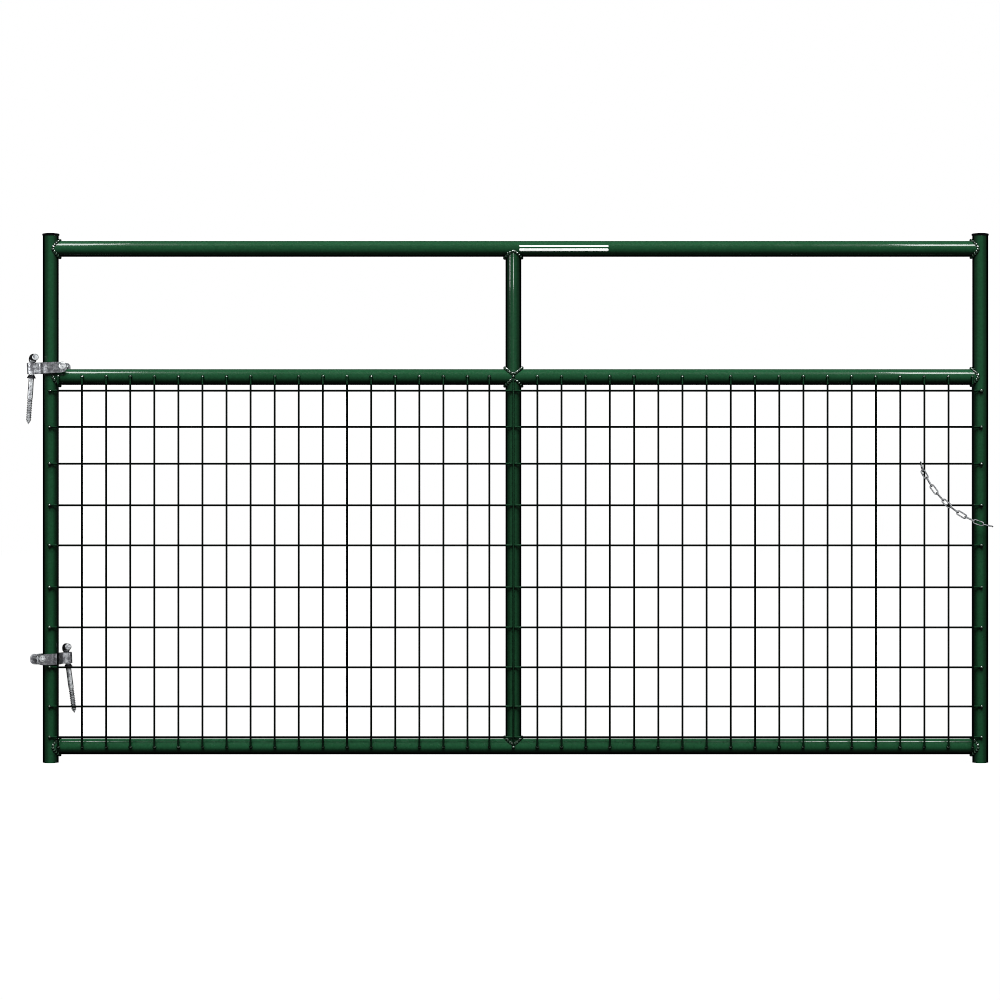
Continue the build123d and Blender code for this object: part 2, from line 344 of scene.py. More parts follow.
def blob_rings(centre, radii, seed, roughness=0.16, rows=14, columns=20):
    """A lumpy ball of weld metal."""
    draw = random.Random(seed)
    waves = []
    for _ in range(5):
        direction = unit(np.array([draw.gauss(0, 1) for _ in range(3)]))
        waves.append((direction * draw.uniform(2.0, 4.5), draw.uniform(0, 6.28)))
    scale = np.array(radii) * draw.uniform(0.9, 1.1)
    rings = []
    for row in range(rows + 1):
        tilt = math.pi * row / rows
        angles = circle(columns)
        around = [np.sin(tilt) * np.cos(angles), np.sin(tilt) * np.sin(angles), np.cos(tilt) + 0 * angles]
        ball = np.stack(around, 1)
        bumps = sum(np.sin(ball @ wave + phase) for wave, phase in waves) / len(waves)
        rings.append(centre + ball * scale * (1 + roughness * bumps)[:, None])
    return rings


# Materials


def srgb(red, green, blue):
    """A linear colour from 0-255 display values."""
    linear = []
    for value in (red, green, blue):
        share = value / 255
        linear.append(share / 12.92 if share <= 0.04045 else ((share + 0.055) / 1.055) ** 2.4)
    return (*linear, 1.0)


class Material:
    """A procedural material: one Principled shader and the nodes that feed it."""

    def __init__(self, name, axis=None):
        self.axis = axis
        self.data = bpy.data.materials.new(name)
        self.data.use_nodes = True
        self.tree = self.data.node_tree
        self.shader = self.tree.nodes["Principled BSDF"]
        self.place = self.node("TexCoord").outputs["Object"]

    def feed(self, target, inputs):
        for name, value in inputs.items():
            socket = target.inputs[name]
            if isinstance(value, bpy.types.NodeSocket):
                self.tree.links.new(value, socket)
            else:
                socket.default_value = value

    def node(self, kind, inputs=None, **settings):
        made = self.tree.nodes.new("ShaderNode" + kind)
        for name, value in settings.items():
            setattr(made, name, value)
        self.feed(made, inputs or {})
        return made

    def noise(self, scale, detail=3.0, roughness=0.55, stretch=None):
        vector = self.place
        if stretch is not None:
            vector = self.node("Mapping", {"Vector": vector, "Scale": stretch}).outputs["Vector"]
        inputs = {"Vector": vector, "Scale": scale, "Detail": detail, "Roughness": roughness}
        return self.node("TexNoise", inputs).outputs["Fac"]

    def cells(self, scale):
        return self.node("TexVoronoi", {"Vector": self.place, "Scale": scale}).outputs["Distance"]

    def remap(self, value, low, high, new_low, new_high, smooth=False):
        kind = "SMOOTHSTEP" if smooth else "LINEAR"
        inputs = {"Value": value, "From Min": low, "From Max": high}
        inputs.update({"To Min": new_low, "To Max": new_high})
        return self.node("MapRange", inputs, interpolation_type=kind).outputs["Result"]

    def math(self, operation, first, second):
        made = self.node("Math", operation=operation)
        self.feed(made, {0: first, 1: second})
        return made.outputs[0]

    def mix(self, share, first, second, blend="MIX"):
        made = self.node("Mix", data_type="RGBA", blend_type=blend)
        self.feed(made, {0: share, 6: first, 7: second})
        return made.outputs[2]

    def facing(self):
        """0 where a surface faces the viewer, 1 at its outline.

        A tube's material names the axis it runs along, so that looking along the tube at a slant
        doesn't count as seeing its outline.
        """
        if self.axis is None:
            return self.node("LayerWeight", {"Blend": 0.5}).outputs["Facing"]
        geometry = self.node("NewGeometry").outputs
        inputs = {0: geometry["Normal"], 1: geometry["Incoming"]}
        toward = self.node("VectorMath", inputs, operation="DOT_PRODUCT").outputs["Value"]
        along = self.node("SeparateXYZ", {0: geometry["Incoming"]}).outputs[self.axis]
        across = self.math("SQRT", self.math("SUBTRACT", 1.0, self.math("MULTIPLY", along, along)), 0.0)
        toward = self.math("ABSOLUTE", toward, 0.0)
        share = self.math("DIVIDE", toward, self.math("MAXIMUM", across, 0.05))
        return self.math("SUBTRACT", 1.0, self.math("MINIMUM", share, 1.0))

    def outline(self, start, end, top_start=0.25, top_end=0.6):
        """A share that rises towards a surface's outline, but not where the surface faces up: the mask for
        painted shade, which spares faces that the light from above reaches.
        """
        edge = self.remap(self.facing(), start, end, 0.0, 1.0, smooth=True)
        normal = self.node("NewGeometry").outputs["Normal"]
        height = self.node("SeparateXYZ", {0: normal}).outputs["Z"]
        return self.math("MULTIPLY", edge, self.remap(height, top_start, top_end, 1.0, 0.0, smooth=True))

    def near(self, axis, places, reach):
        """1 within `reach` of any of some places along an object axis, and 0 farther off."""
        value = self.node("SeparateXYZ", {0: self.place}).outputs[axis]
        shares = []
        for place in places:
            away = self.math("ABSOLUTE", self.math("SUBTRACT", value, float(place)), 0.0)
            shares.append(self.remap(away, reach - 2 * MM, reach, 1.0, 0.0, smooth=True))
        total = shares[0]
        for share in shares[1:]:
            total = self.math("MAXIMUM", total, share)
        return total

    def on_tubes(self):
        """1 where a wire lies on a tube."""
        uprights = [middle_of(node, 0) for node in UPRIGHTS]
        rails = [middle_of(node, 2) for node in RAILS]
        low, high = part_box(UPRIGHTS[0])
        reach = (high[0] - low[0]) / 2
        return self.math("MAXIMUM", self.near("X", uprights, reach), self.near("Z", rails, reach))

    def bump(self, height, strength, distance, under=None):
        inputs = {"Height": height, "Strength": strength, "Distance": distance}
        if under is not None:
            inputs["Normal"] = under
        return self.node("Bump", inputs).outputs["Normal"]

    def finish(self, **inputs):
        self.feed(self.shader, {name.replace("_", " "): value for name, value in inputs.items()})
        return self.data


PAINT_DUST = srgb(120, 140, 120)
# Painted shade for the hollows between weld ripples
PAINT_VALLEY_SHADE = srgb(2, 9, 5)
# Painted shade for the coat's flanks, sides and outline
PAINT_FLANK_SHADE = srgb(4, 12, 8)
PAINT_SIDE_SHADE = srgb(12, 34, 20)
PAINT_OUTLINE_SHADE = srgb(1, 5, 3)
# Darker zinc colour where the straps wrap round the hinge upright
ZINC_AT_TURN = srgb(70, 70, 74)
# Painted shade for zinc outlines
ZINC_OUTLINE_SHADE = srgb(26, 28, 30)


def powder_coat(name, tone, shade, outline, gloss, peel, axis=None, painted_tube_reflection=None, crest=None):
    """Gloss powder coat over steel: slow colour drift, fine orange peel and dust specks.

    Painted shade darkens it towards outlines by view angle, mostly sparing faces that point up, which is a
    studio effect and no property of paint.
    A wire's colour where it lies on a tube, given as its own argument, is a painted reflection of the
    tube's green thrown back at it.
    `crest` is a painted highlight on the ripples' tops, and between them the coat gets painted shade.
    """
    made = Material(name, axis)
    drift = made.remap(made.noise(3.5, 2.0), 0.35, 0.65, 0.0, 1.0)
    colour = made.mix(drift, tone, shade)
    # Painted reflection: the wire takes the tube's green where it lies on a tube
    if painted_tube_reflection is not None:
        colour = made.mix(made.on_tubes(), colour, painted_tube_reflection)
    mottle = made.remap(made.noise(190.0, 4.0), 0.3, 0.7, 0.86, 1.14)
    gray = made.node("CombineColor", {0: mottle, 1: mottle, 2: mottle}).outputs[0]
    colour = made.mix(1.0, colour, gray, "MULTIPLY")
    if crest is not None:
        # Painted shade in the hollows and a painted highlight on the sharp crests, by pointiness
        sharp = made.node("NewGeometry").outputs["Pointiness"]
        colour = made.mix(made.remap(sharp, 0.46, 0.50, 0.0, 1.0, smooth=True), PAINT_VALLEY_SHADE, colour)
        colour = made.mix(made.remap(sharp, 0.51, 0.55, 0.0, 1.0, smooth=True), colour, crest)
    specks = made.remap(made.cells(240.0), 0.0, 0.055, 0.45, 0.0, smooth=True)
    rare = made.remap(made.noise(45.0, 1.0), 0.55, 0.7, 0.0, 1.0)
    colour = made.mix(made.math("MULTIPLY", specks, rare), colour, PAINT_DUST)
    # Painted shade: three masks darken the coat towards its outline by view angle, sparing faces that
    # point up
    edge = made.outline(*outline)
    flank = made.outline(0.0, 0.14, 0.1, 0.5)
    colour = made.mix(made.math("MULTIPLY", flank, 0.45), colour, PAINT_FLANK_SHADE)
    sides = made.outline(0.0, 0.62, 0.1, 0.5)
    colour = made.mix(sides, colour, PAINT_SIDE_SHADE)
    colour = made.mix(edge, colour, PAINT_OUTLINE_SHADE)
    peel_height = made.noise(330.0, 2.0, 0.5)
    normal = made.bump(peel_height, peel, 0.4 * MM)
    rough = made.remap(made.noise(26.0, 3.0), 0.3, 0.7, gloss + 0.16, gloss + 0.3)
    coat_rough = made.remap(made.noise(60.0, 3.0), 0.3, 0.7, gloss * 0.6, gloss * 1.4)
    level = made.remap(edge, 0.0, 1.0, 0.35, 0.0)
    return made.finish(
        Base_Color=colour,
        Roughness=rough,
        Specular_IOR_Level=level,
        Coat_Weight=made.remap(edge, 0.0, 1.0, 1.0, 0.0),
        Coat_Roughness=coat_rough,
        Normal=normal,
        Coat_Normal=normal,
    )


def zinc(name, light, dark, patch_scale, patch_low, patch_high, polish, outline, turn_darkening=0.0):
    """Zinc plate: crystal mottling, dark handling patches, fine scratches and pits, and painted shade
    towards its outlines.

    The last argument is how much darker it is where the straps wrap round the hinge upright.
    """
    made = Material(name)
    spangle = made.remap(made.cells(420.0), 0.0, 0.9, 0.0, 1.0)
    patches = made.noise(patch_scale, 5.0, 0.65)
    patches = made.remap(patches, patch_low, patch_high, 0.0, 1.0, smooth=True)
    share = made.math("MULTIPLY", patches, made.remap(spangle, 0.0, 1.0, 0.7, 1.0))
    colour = made.mix(share, dark, light)
    # Darker near the straps' turn round the hinge upright
    if turn_darkening:
        bent = made.near("X", [joints["upper_strap_turn"]["pos_m"][0]], TURN_DARK_REACH)
        colour = made.mix(made.math("MULTIPLY", bent, turn_darkening), colour, ZINC_AT_TURN)
    # Painted shade: darker towards the outline by view angle
    edge = made.remap(made.facing(), outline[0], outline[1], 0.0, 1.0, smooth=True)
    colour = made.mix(edge, colour, ZINC_OUTLINE_SHADE)
    scratches = made.noise(500.0, 2.0, 0.5, stretch=(0.15, 1.0, 1.0))
    pits = made.remap(made.cells(900.0), 0.0, 0.3, 0.0, 1.0)
    normal = made.bump(scratches, 0.18, 0.2 * MM)
    normal = made.bump(pits, 0.12, 0.15 * MM, normal)
    normal = made.bump(made.noise(150.0, 3.0), 0.3, 0.5 * MM, normal)
    rough = made.remap(made.noise(210.0, 4.0), 0.3, 0.7, polish, polish + 0.25)
    return made.finish(Base_Color=colour, Metallic=0.5, Roughness=rough, Normal=normal)


def dark_steel():
    """Oiled spring steel with a rubbed bright edge here and there."""
    made = Material("dark_steel")
    rub = made.remap(made.noise(260.0, 4.0), 0.56, 0.72, 0.0, 1.0, smooth=True)
    colour = made.mix(rub, srgb(38, 38, 42), srgb(120, 120, 124))
    normal = made.bump(made.noise(420.0, 3.0), 0.3, 0.3 * MM)
    rough = made.remap(made.noise(150.0), 0.3, 0.7, 0.32, 0.55)
    return made.finish(Base_Color=colour, Metallic=0.85, Roughness=rough, Normal=normal)


def black_plastic():
    """Moulded polyethylene with a fine grain, slightly chalky on its flat top."""
    made = Material("black_plastic")
    chalk = made.remap(made.noise(70.0, 4.0), 0.4, 0.75, 0.0, 1.0, smooth=True)
    colour = made.mix(chalk, srgb(10, 10, 11), srgb(30, 31, 32))
    grain = made.bump(made.cells(1400.0), 0.25, 0.15 * MM)
    normal = made.bump(made.noise(90.0, 2.0), 0.1, 0.4 * MM, grain)
    rough = made.remap(made.noise(120.0), 0.3, 0.7, 0.42, 0.58)
    return made.finish(Base_Color=colour, Roughness=rough, Normal=normal)


def white_film():
    """Printed vinyl film, with the tube's orange peel showing through it."""
    made = Material("white_film")
    age = made.remap(made.noise(55.0, 4.0), 0.35, 0.75, 0.0, 1.0)
    colour = made.mix(age, srgb(246, 248, 246), srgb(226, 230, 226))
    normal = made.bump(made.noise(330.0, 2.0), 0.12, 0.3 * MM)
    rough = made.remap(made.noise(90.0), 0.3, 0.7, 0.28, 0.42)
    return made.finish(Base_Color=colour, Roughness=rough, Coat_Weight=0.3, Normal=normal)


def materials():
    """Every material of the gate, by a plain name."""
    tone, shade = srgb(38, 100, 62), srgb(42, 106, 68)
    return {
        "upright": powder_coat("green_powder_coat_upright", tone, shade, (0.26, 0.46), 0.03, 0.03, "Z"),
        "rail": powder_coat("green_powder_coat_rail", tone, shade, (0.26, 0.46), 0.03, 0.03, "X"),
        # The wire's green over tubes is a painted reflection.
        "wire": powder_coat("green_coated_wire", srgb(1, 6, 3), srgb(2, 8, 5), (0.1, 0.5), 0.3, 0.15,
                            painted_tube_reflection=srgb(26, 74, 46)),
        # The weld's crest colour is a painted highlight.
        "weld": powder_coat("coated_weld", srgb(26, 78, 48), srgb(32, 88, 56), (0.2, 0.5, 2.0, 3.0), 0.05,
                            0.30, crest=srgb(104, 130, 112)),
        "cap": black_plastic(),
        "film": white_film(),
        "strap": zinc("zinc_strap", srgb(224, 228, 232), srgb(112, 112, 118), 130.0, 0.42, 0.66, 0.30,
                      (0.6, 0.95), 0.7),
        "fastener": zinc("zinc_fastener", srgb(232, 236, 238), srgb(110, 112, 118), 160.0, 0.3, 0.55, 0.20,
                         (0.5, 0.9)),
        "hook": zinc("zinc_hook", srgb(228, 232, 234), srgb(126, 128, 134), 110.0, 0.34, 0.6, 0.34,
                     (0.2, 0.55)),
        "collar": dark_steel(),
        "chain": zinc("bright_chain", srgb(206, 210, 212), srgb(88, 90, 96), 240.0, 0.34, 0.6, 0.2,
                      (0.0, 0.28)),
    }


# Frame tubes, caps and decal


def upright_tube(node, name, material):
    start, end, radius = tube_axis(node, 2)
    inner = radius - TUBE_WALL
    section = [(inner, start[2]), (radius, start[2]), (radius, end[2]), (inner, end[2])]
    rings = lathe(rounded(section, RIM_ROUNDING), TUBE_SEGMENTS)
    place = place_matrix((start[0], start[1], 0.0), (1, 0, 0), UP)
    Shape().skin(rings, closed=True, place=place).piece(name, node, material)


def coped_tube(node, name, material, start, end, radius):
    """A tube between the axes of two crossing tubes of its own radius, coped to sit on both."""
    along = unit(end - start)
    sideways = np.cross(FRONT, along)
    angles = circle(TUBE_SEGMENTS)
    rings = []
    for shell, from_start in ((radius, True), (radius, False), (radius - TUBE_WALL, False),
                              (radius - TUBE_WALL, True)):
        depth = shell * np.cos(angles)
        side = shell * np.sin(angles)
        reach = np.sqrt((radius + COPE_GAP) ** 2 - depth**2)
        foot = start if from_start else end
        signed = reach if from_start else -reach
        rings.append(foot + np.outer(depth, FRONT) + np.outer(side, sideways) + np.outer(signed, along))
    Shape().skin(rings, closed=True).piece(name, node, material)


def frame_tubes(upright_paint, rail_paint):
    """The two uprights, three rails and two stile pieces; returns the tubes' radius and axes."""
    for node in ("hinge_upright", "latch_upright"):
        upright_tube(node, node + "_tube", upright_paint)
    hinge_start, _, radius = tube_axis("hinge_upright", 2)
    latch_start, _, _ = tube_axis("latch_upright", 2)
    rail_z = {}
    for node in RAILS:
        rail_z[node] = middle_of(node, 2)
        start = np.array([hinge_start[0], 0.0, rail_z[node]])
        end = np.array([latch_start[0], 0.0, rail_z[node]])
        coped_tube(node, node + "_tube", rail_paint, start, end, radius)
    stile_x = middle_of("centre_stile_upper", 0)
    for node, below, above in (
        ("centre_stile_lower", "bottom_rail", "middle_rail"),
        ("centre_stile_upper", "middle_rail", "top_rail"),
    ):
        start = np.array([stile_x, 0.0, rail_z[below]])
        end = np.array([stile_x, 0.0, rail_z[above]])
        coped_tube(node, node + "_tube", upright_paint, start, end, radius)
    return radius, hinge_start[0], latch_start[0], stile_x, rail_z


def caps(material):
    for node in ("hinge_upright_cap", "latch_upright_cap"):
        low, high = extents(node_points(node))
        tube_start, tube_end, tube_radius = tube_axis(node.replace("_cap", ""), 2)
        radius = (high[0] - low[0]) / 2
        plug = tube_radius - TUBE_WALL - 0.15 * MM
        seat, top, bottom = tube_end[2], high[2], low[2]
        dome = [(0.0, top), (radius * 0.45, top - 0.15 * MM), (radius - 2.4 * MM, top - 0.5 * MM)]
        rim = [(radius, top - 1.9 * MM), (radius, seat + 1.2 * MM)]
        rim += [(tube_radius + 0.2 * MM, seat + 0.05 * MM)]
        inside = [(plug, seat + 0.05 * MM), (plug, bottom + 2 * MM), (plug - 1 * MM, bottom)]
        hollow = [(plug - 2.2 * MM, bottom), (plug - 2.2 * MM, seat + 1.5 * MM), (0.0, seat + 1.5 * MM)]
        outline = rounded(dome + rim + inside + hollow, 0.9 * MM, closed=False)
        place = place_matrix((tube_start[0], tube_start[1], 0.0), (1, 0, 0), UP)
        Shape().skin(lathe(outline, 96), place=place).piece(node + "_moulding", node, material)


def decal(material, rail_axis_z):
    """Two plain round-ended stripes on the front of the top rail."""
    shape = Shape()
    for low, high in islands("top_rail_decal"):
        top = math.asin((high[2] - rail_axis_z) / DECAL_RADIUS)
        bottom = math.asin((low[2] - rail_axis_z) / DECAL_RADIUS)
        half = (top - bottom) / 2
        corner = half * DECAL_RADIUS
        rings = []
        for turn in np.linspace(-1, 1, 25):
            angle = (top + bottom) / 2 + turn * half
            inset = corner * (1 - math.sqrt(max(0.0, 1 - turn * turn)))
            ring = []
            for x, radius in (
                (low[0] + inset, DECAL_RADIUS),
                (high[0] - inset, DECAL_RADIUS),
                (high[0] - inset, DECAL_RADIUS - DECAL_THICKNESS),
                (low[0] + inset, DECAL_RADIUS - DECAL_THICKNESS),
            ):
                ring.append((x, -radius * math.cos(angle), rail_axis_z + radius * math.sin(angle)))
            rings.append(ring)
        shape.skin(rings)
    shape.piece("top_rail_stripes", "top_rail_decal", material)


# Weld beads


def saddle(joint, side, main, radius, count):
    """Points, normals and a corner share round the saddle where a branch tube meets a main tube.

    The branch leaves the joint along `side`; `main` is the other tube's direction. The saddle's
    two tips, in front and behind, are rounded off.
    """
    turn = circle(count)
    across = np.sin(turn)
    out = np.sqrt(across**2 + BEAD_TIP_ROUNDING**2)
    forward = np.outer(np.cos(turn), FRONT)
    points = joint + radius * (forward + np.outer(across, main) + np.outer(out, side))
    main_normal = forward + np.outer(np.abs(across), side)
    branch_normal = forward + np.outer(across, main)
    normal = main_normal + branch_normal
    normal /= np.linalg.norm(normal, axis=1)[:, None]
    corner = 1 - np.cos(turn) ** 2
    return points, normal, corner


def add_bead(shape, joint, side, main, radius, seed):
    """A rippled fillet bead all round the joint of two tubes."""
    draw = random.Random(seed)
    ripples = round(2 * math.pi * radius * BEAD_SADDLE_LENGTH / BEAD_RIPPLE)
    count = ripples * BEAD_STEPS_PER_RIPPLE
    points, normal, corner = saddle(joint, side, main, radius, count)
    ahead = np.roll(points, -1, 0) - np.roll(points, 1, 0)
    ahead /= np.linalg.norm(ahead, axis=1)[:, None]
    normal -= ahead * np.sum(normal * ahead, 1)[:, None]
    normal /= np.linalg.norm(normal, axis=1)[:, None]
    across = np.cross(ahead, normal)
    lengths = np.linalg.norm(np.roll(points, -1, 0) - points, axis=1)
    travelled = np.concatenate([[0.0], np.cumsum(lengths)[:-1]]) / lengths.sum()
    wander = 0.0
    for waves in (2, 3, 5, 7):
        size = draw.uniform(0.02, 0.05)
        wander = wander + size * np.sin(2 * math.pi * (waves * travelled + draw.random()))
    height = (BEAD_FLAT_HEIGHT + (BEAD_CORNER_RADIUS - BEAD_FLAT_HEIGHT) * corner) * (1 + wander)
    width = (BEAD_FLAT_WIDTH + (BEAD_CORNER_RADIUS - BEAD_FLAT_WIDTH) * corner) * (1 + wander)
    lift = BEAD_CORNER_LIFT * corner
    section = circle(22)
    rings = []
    for index in range(count):
        phase = ripples * travelled[index] + draw.uniform(-0.03, 0.03) - BEAD_BOW * np.cos(section) ** 2
        crest = np.abs(np.sin(math.pi * phase)) - BEAD_CREST_LEVEL
        raised = np.where(np.sin(section) > 0, 1 + BEAD_RIPPLE_DEPTH * crest, 1.0)
        up = lift[index] + height[index] * np.sin(section) * raised
        along = width[index] * np.cos(section) * (1 + BEAD_WIDTH_RIPPLE * BEAD_RIPPLE_DEPTH * crest)
        rings.append(points[index] + np.outer(up, normal[index]) + np.outer(along, across[index]))
    shape.skin(rings, closed=True)


def weld_beads(material, radius, hinge_x, latch_x, stile_x, rail_z):
    seed = 11
    for node, x, side in (("hinge_side_welds", hinge_x, RIGHT), ("latch_side_welds", latch_x, -RIGHT)):
        shape = Shape()
        for z in rail_z.values():
            add_bead(shape, np.array([x, 0.0, z]), side, UP, radius, seed)
            seed += 1
        shape.piece(node.replace("welds", "beads"), node, material, 80.0)
    shape = Shape()
    for rail, side in (("bottom_rail", UP), ("middle_rail", -UP), ("middle_rail", UP), ("top_rail", -UP)):
        add_bead(shape, np.array([stile_x, 0.0, rail_z[rail]]), side, RIGHT, radius, seed)
        seed += 1
    shape.piece("centre_stile_beads", "centre_stile_welds", material, 80.0)


# Wire panel


def add_wire(shape, start, end, radius):
    """A straight round wire with slightly rounded ends."""
    length = np.linalg.norm(end - start)
    outline = [(0.0, 0.0), (radius * 0.75, 0.0), (radius, radius * 0.3)]
    outline += [(radius, length - radius * 0.3), (radius * 0.75, length), (0.0, length)]
    helper = FRONT if abs(unit(end - start)[1]) < 0.9 else UP
    shape.skin(lathe(outline, WIRE_SEGMENTS), place=place_matrix(start, helper, end - start))


def wires(node, along):
    """A node's wires, along axis number `along`, and each one's middle."""
    shape = Shape()
    lines = []
    for low, high in islands(node):
        middle = (low + high) / 2
        radius = (high[1] - low[1]) / 2
        start, end = middle.copy(), middle.copy()
        start[along], end[along] = low[along], high[along]
        add_wire(shape, start, end, radius)
        lines.append(middle)
    return shape, lines


def wire_panel(wire_material, weld_material):
    """The welded wire panel and the tacks that hold it on the frame."""
    shape, level = wires("horizontal_wires", 0)
    upright_lines = []
    for node in ("vertical_wires_hinge_bay", "vertical_wires_latch_bay"):
        bay, lines = wires(node, 2)
        upright_lines += lines
        bay.piece(node + "_drawn", node, wire_material)
    seed = 100
    for line in upright_lines:
        for wire in level:
            between = np.array([line[0], (line[1] + wire[1]) / 2, wire[2]])
            shape.skin(blob_rings(between, CROSSING_RADII, seed, 0.1, 6, 8))
            seed += 1
    shape.piece("horizontal_wires_drawn", "horizontal_wires", wire_material)
    for node in ("horizontal_wire_tacks", "vertical_wire_tacks"):
        shape = Shape()
        for low, high in islands(node):
            middle = (low + high) / 2
            middle[1] = high[1] - TACK_RADII[1] * 0.95
            shape.skin(blob_rings(middle, TACK_RADII, seed))
            seed += 1
        shape.piece(node + "_blobs", node, weld_material, 80.0)


# Hinge straps, their bolts and nuts


def strap_frame(name):
    """A strap's own place: origin on the tube's axis, +X to the tails, +Z up its height."""
    node = frame["nodes"][name + "_hinge_strap"]
    joint = joints[name + "_strap_turn"]
    up = np.zeros(3)
    for polygon in node.data.polygons:
        normal = np.array(polygon.normal)
        if normal[2] > 0.98:
            up += normal * polygon.area
    up = unit(up)
    bolt = node_points(name + "_hinge_bolt")
    _, vectors = np.linalg.eigh(np.cov((bolt - bolt.mean(0)).T))
    to_nut = node_points(name + "_hinge_nut").mean(0) - bolt.mean(0)
    shank = vectors[:, 2] * np.sign(vectors[:, 2] @ to_nut)
    sides = np.zeros(3)
    for polygon in node.data.polygons:
        normal = np.array(polygon.normal)
        if abs(normal @ shank) > 0.998:
            sides += normal * polygon.area * np.sign(normal @ shank)
    forward = np.cross(unit(sides), up)
    return place_matrix(joint["pos_m"], forward, up)


def strap_line(loop, neck, eye, distance, turn, tail):
    """The strap's middle line as rows of x, y and the outward normal."""
    along = -(distance**2 + (loop + neck) ** 2 - (eye + neck) ** 2) / (2 * distance)
    across = math.sqrt((loop + neck) ** 2 - along**2)
    at_loop = math.degrees(math.atan2(across, along))
    at_eye = math.degrees(math.atan2(across, along + distance))

    def polar(radius, angle):
        return radius * math.cos(math.radians(angle)), radius * math.sin(math.radians(angle))

    arcs = [
        ((0.0, 0.0), loop, 90.0, turn + at_loop, 1),
        (polar(loop + neck, turn + at_loop), neck, turn + at_loop - 180, turn + at_eye - 180, -1),
        (polar(distance, turn + 180), eye, turn + at_eye, turn + 360 - at_eye, 1),
        (polar(loop + neck, turn - at_loop), neck, turn + 180 - at_eye, turn + 180 - at_loop, -1),
        ((0.0, 0.0), loop, turn + 360 - at_loop, 270.0, 1),
    ]
    shares = np.linspace(0, 1, 34)
    rows = [(tail * (1 - share), loop, 0.0, 1.0) for share in shares[:-1]]
    for centre, radius, start, end, sign in arcs:
        steps = max(4, round(abs(end - start) / 4))
        for angle in np.radians(np.linspace(start, end, steps + 1)[:-1]):
            x, y = math.cos(angle), math.sin(angle)
            rows.append((centre[0] + radius * x, centre[1] + radius * y, sign * x, sign * y))
    return np.array(rows + [(tail * share, -loop, 0.0, -1.0) for share in shares])


def hinge_strap(name, place, material):
    node = name + "_hinge_strap"
    low, high = extents(node_points(node), place)
    half_height, outer, tail = high[2], high[1], high[0]
    loop = outer - STRAP_THICKNESS / 2
    hook = joints[name + "_hook_turn"]
    axis = np.array(hook["axis"])
    pivot = np.array(hook["pos_m"])
    origin, up = place[:3, 3], place[:3, 2]
    eye = pivot + axis * ((origin - pivot) @ up) / (axis @ up)
    eye = moved(eye, np.linalg.inv(place))
    eye_radius = eye[0] - low[0] - STRAP_THICKNESS / 2
    turn = math.degrees(math.atan2(-eye[1], -eye[0]))
    line = strap_line(loop, NECK_RADIUS, eye_radius, math.hypot(eye[0], eye[1]), turn, tail)
    rings = []
    last = len(line) - 1
    for index, (x, y, normal_x, normal_y) in enumerate(line):
        near_end = max(0.0, (x - STRAP_TAPER_START) / (tail - STRAP_TAPER_START))
        height = half_height - 3.0 * MM * near_end**2 - 5.2 * MM * max(0.0, near_end - 0.75) ** 2 * 16
        half = STRAP_THICKNESS / 2
        if index in (0, last):
            height, half = height - 0.5 * MM, half - 0.5 * MM
        corners = [(-half, -height), (half, -height), (half, height), (-half, height)]
        section = rounded(corners, STRAP_EDGE, 3)
        rings.append([(x + normal_x * a, y + normal_y * a, b) for a, b in section])
    Shape().skin(rings, place=place).piece(node + "_forged", node, material)


def screw_radius(z, turn, pitch, root, crest):
    """The radius of a V thread at a height and a share of a turn."""
    share = (z / pitch - turn) % 1.0
    flank = 1 - abs(2 * share - 1)
    return root + (crest - root) * smooth_step(flank, 0.15, 0.85)


def hinge_bolt(name, place, material):
    """Carriage bolt: a domed head, a plain shank through both tails and a threaded end."""
    node = name + "_hinge_bolt"
    low, high = extents(node_points(node), place)
    middle = (low + high) / 2
    head_radius = (high[0] - low[0]) / 2
    strap_low, _ = extents(node_points(name + "_hinge_strap"), place)
    face = strap_low[1] - 0.05 * MM
    dome = face - low[1]
    outline = [(0.0, dome)]
    rim = 0.7 * MM
    for angle in np.linspace(0.12, 1.0, 12) * math.pi / 2:
        outline.append((head_radius * math.sin(angle), rim + (dome - rim) * math.cos(angle)))
    outline += [(head_radius - 0.3 * MM, 0.0), (BOLT_RADIUS, 0.0)]
    length = high[1] - face
    thread_start = -0.45 * length
    outline += [(BOLT_RADIUS, thread_start)]
    local = place @ place_matrix((middle[0], face, middle[2]), (1, 0, 0), (0, -1, 0))
    rings = lathe(outline, 48)
    heights = np.arange(thread_start - 0.2 * MM, -length + 1.0 * MM, -BOLT_PITCH / 8)
    root = BOLT_RADIUS - 0.9 * MM
    rings += threaded(heights, lambda z, turn: screw_radius(z, turn, BOLT_PITCH, root, BOLT_RADIUS), 48)
    rings += lathe([(BOLT_RADIUS - 1.3 * MM, -length), (0.0, -length)], 48)
    Shape().skin(rings, place=local).piece(node + "_turned", node, material)


